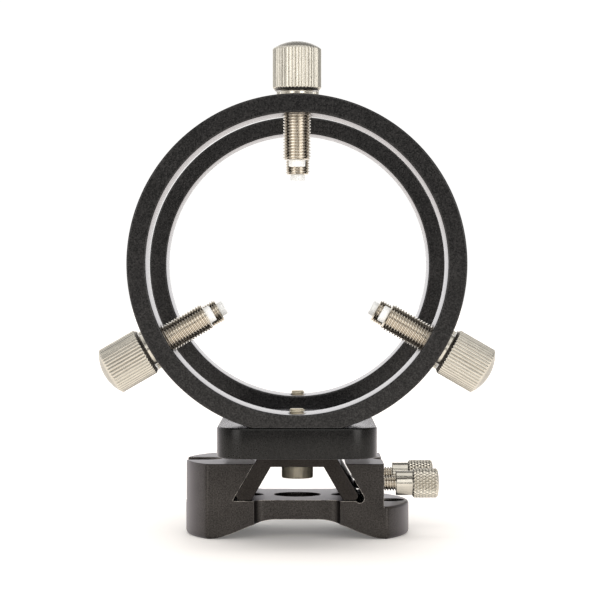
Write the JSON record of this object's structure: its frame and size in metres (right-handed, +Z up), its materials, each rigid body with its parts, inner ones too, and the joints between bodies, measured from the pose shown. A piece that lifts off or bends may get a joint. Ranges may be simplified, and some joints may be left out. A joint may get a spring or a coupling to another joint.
{
  "type": "finder scope ring bracket",
  "caption": "Quick-release bracket with two rings on a bar: nylon-tipped thumbscrews centre a finder scope, and a dovetail shoe locks in a clamp base.",
  "frame": {"origin": "on the surface that the feet stand on, under the middle of the object's box", "axes": "+X to the right, towards the clamp's thumbscrews; +Y from the front ring to the rear ring, along the finder's tube; +Z up"},
  "size_m": [0.0994, 0.1046, 0.1279],
  "materials": {
    "ring_anodised": "black anodised, satin, fine-blasted",
    "base_anodised": "black anodised, satin, fine-blasted",
    "screw_nickel": "nickel plated, turned and knurled",
    "bolt_steel": "stainless, bright",
    "nylon": "milky, smooth",
    "pad_plastic": "smooth"
  },
  "bodies": {
    "base": {"clamp_base": "base_anodised"},
    "carrier": {"dovetail_shoe": "base_anodised", "ring_bar": "ring_anodised", "ring_front": "ring_anodised", "ring_rear": "ring_anodised", "ring_bolt_front": "bolt_steel", "ring_bolt_rear": "bolt_steel", "shoe_bolt": "bolt_steel"},
    "tip_front_top": {"nylon_tip_front_top": "nylon"},
    "screw_front_top": {"thumbscrew_front_top": "screw_nickel"},
    "tip_front_left": {"nylon_tip_front_left": "nylon"},
    "screw_front_left": {"thumbscrew_front_left": "screw_nickel"},
    "tip_front_right": {"nylon_tip_front_right": "nylon"},
    "screw_front_right": {"thumbscrew_front_right": "screw_nickel"},
    "tip_rear_top": {"nylon_tip_rear_top": "nylon"},
    "screw_rear_top": {"thumbscrew_rear_top": "screw_nickel"},
    "tip_rear_left": {"nylon_tip_rear_left": "nylon"},
    "screw_rear_left": {"thumbscrew_rear_left": "screw_nickel"},
    "tip_rear_right": {"nylon_tip_rear_right": "nylon"},
    "screw_rear_right": {"thumbscrew_rear_right": "screw_nickel"},
    "pad_front": {"clamp_pad_front": "pad_plastic"},
    "clamp_front": {"clamp_screw_front": "screw_nickel"},
    "pad_rear": {"clamp_pad_rear": "pad_plastic"},
    "clamp_rear": {"clamp_screw_rear": "screw_nickel"}
  },
  "joints": [
    {"name": "carrier_slide", "type": "slide", "parent": "base", "child": "carrier", "axis": [0, 1, 0], "range_m": [-0.032, 0.032]},
    {"name": "tip_front_top_travel", "type": "slide", "parent": "carrier", "child": "tip_front_top", "axis": [0, 0, 1], "range_m": [0, 0.01275]},
    {"name": "screw_front_top_turn", "type": "hinge", "parent": "tip_front_top", "child": "screw_front_top", "pos_m": [0, -0.04425, 0.0721], "axis": [0, 0, 1], "range_deg": [0, 6125]},
    {"name": "tip_front_left_travel", "type": "slide", "parent": "carrier", "child": "tip_front_left", "axis": [-0.866, 0, -0.5], "range_m": [0, 0.01275]},
    {"name": "screw_front_left_turn", "type": "hinge", "parent": "tip_front_left", "child": "screw_front_left", "pos_m": [0, -0.04425, 0.0721], "axis": [-0.866, 0, -0.5], "range_deg": [0, 6125]},
    {"name": "tip_front_right_travel", "type": "slide", "parent": "carrier", "child": "tip_front_right", "axis": [0.866, 0, -0.5], "range_m": [0, 0.01275]},
    {"name": "screw_front_right_turn", "type": "hinge", "parent": "tip_front_right", "child": "screw_front_right", "pos_m": [0, -0.04425, 0.0721], "axis": [0.866, 0, -0.5], "range_deg": [0, 6125]},
    {"name": "tip_rear_top_travel", "type": "slide", "parent": "carrier", "child": "tip_rear_top", "axis": [0, 0, 1], "range_m": [0, 0.01275]},
    {"name": "screw_rear_top_turn", "type": "hinge", "parent": "tip_rear_top", "child": "screw_rear_top", "pos_m": [0, 0.04425, 0.0721], "axis": [0, 0, 1], "range_deg": [0, 6125]},
    {"name": "tip_rear_left_travel", "type": "slide", "parent": "carrier", "child": "tip_rear_left", "axis": [-0.866, 0, -0.5], "range_m": [0, 0.01275]},
    {"name": "screw_rear_left_turn", "type": "hinge", "parent": "tip_rear_left", "child": "screw_rear_left", "pos_m": [0, 0.04425, 0.0721], "axis": [-0.866, 0, -0.5], "range_deg": [0, 6125]},
    {"name": "tip_rear_right_travel", "type": "slide", "parent": "carrier", "child": "tip_rear_right", "axis": [0.866, 0, -0.5], "range_m": [0, 0.01275]},
    {"name": "screw_rear_right_turn", "type": "hinge", "parent": "tip_rear_right", "child": "screw_rear_right", "pos_m": [0, 0.04425, 0.0721], "axis": [0.866, 0, -0.5], "range_deg": [0, 6125]},
    {"name": "pad_front_travel", "type": "slide", "parent": "base", "child": "pad_front", "axis": [1, 0, 0], "range_m": [0, 0.0032]},
    {"name": "clamp_front_turn", "type": "hinge", "parent": "pad_front", "child": "clamp_front", "pos_m": [0.02, -0.0136, 0.0143], "axis": [1, 0, 0], "range_deg": [0, 1650]},
    {"name": "pad_rear_travel", "type": "slide", "parent": "base", "child": "pad_rear", "axis": [1, 0, 0], "range_m": [0, 0.0032]},
    {"name": "clamp_rear_turn", "type": "hinge", "parent": "pad_rear", "child": "clamp_rear", "pos_m": [0.02, 0.0136, 0.0143], "axis": [1, 0, 0], "range_deg": [0, 1650]}
  ],
  "couplings": [
    {"joint": "screw_front_top_turn", "follows": "tip_front_top_travel", "rad_per_m": 8377.6},
    {"joint": "screw_front_left_turn", "follows": "tip_front_left_travel", "rad_per_m": 8377.6},
    {"joint": "screw_front_right_turn", "follows": "tip_front_right_travel", "rad_per_m": 8377.6},
    {"joint": "screw_rear_top_turn", "follows": "tip_rear_top_travel", "rad_per_m": 8377.6},
    {"joint": "screw_rear_left_turn", "follows": "tip_rear_left_travel", "rad_per_m": 8377.6},
    {"joint": "screw_rear_right_turn", "follows": "tip_rear_right_travel", "rad_per_m": 8377.6},
    {"joint": "clamp_front_turn", "follows": "pad_front_travel", "rad_per_m": 8976},
    {"joint": "clamp_rear_turn", "follows": "pad_rear_travel", "rad_per_m": 8976}
  ]
}
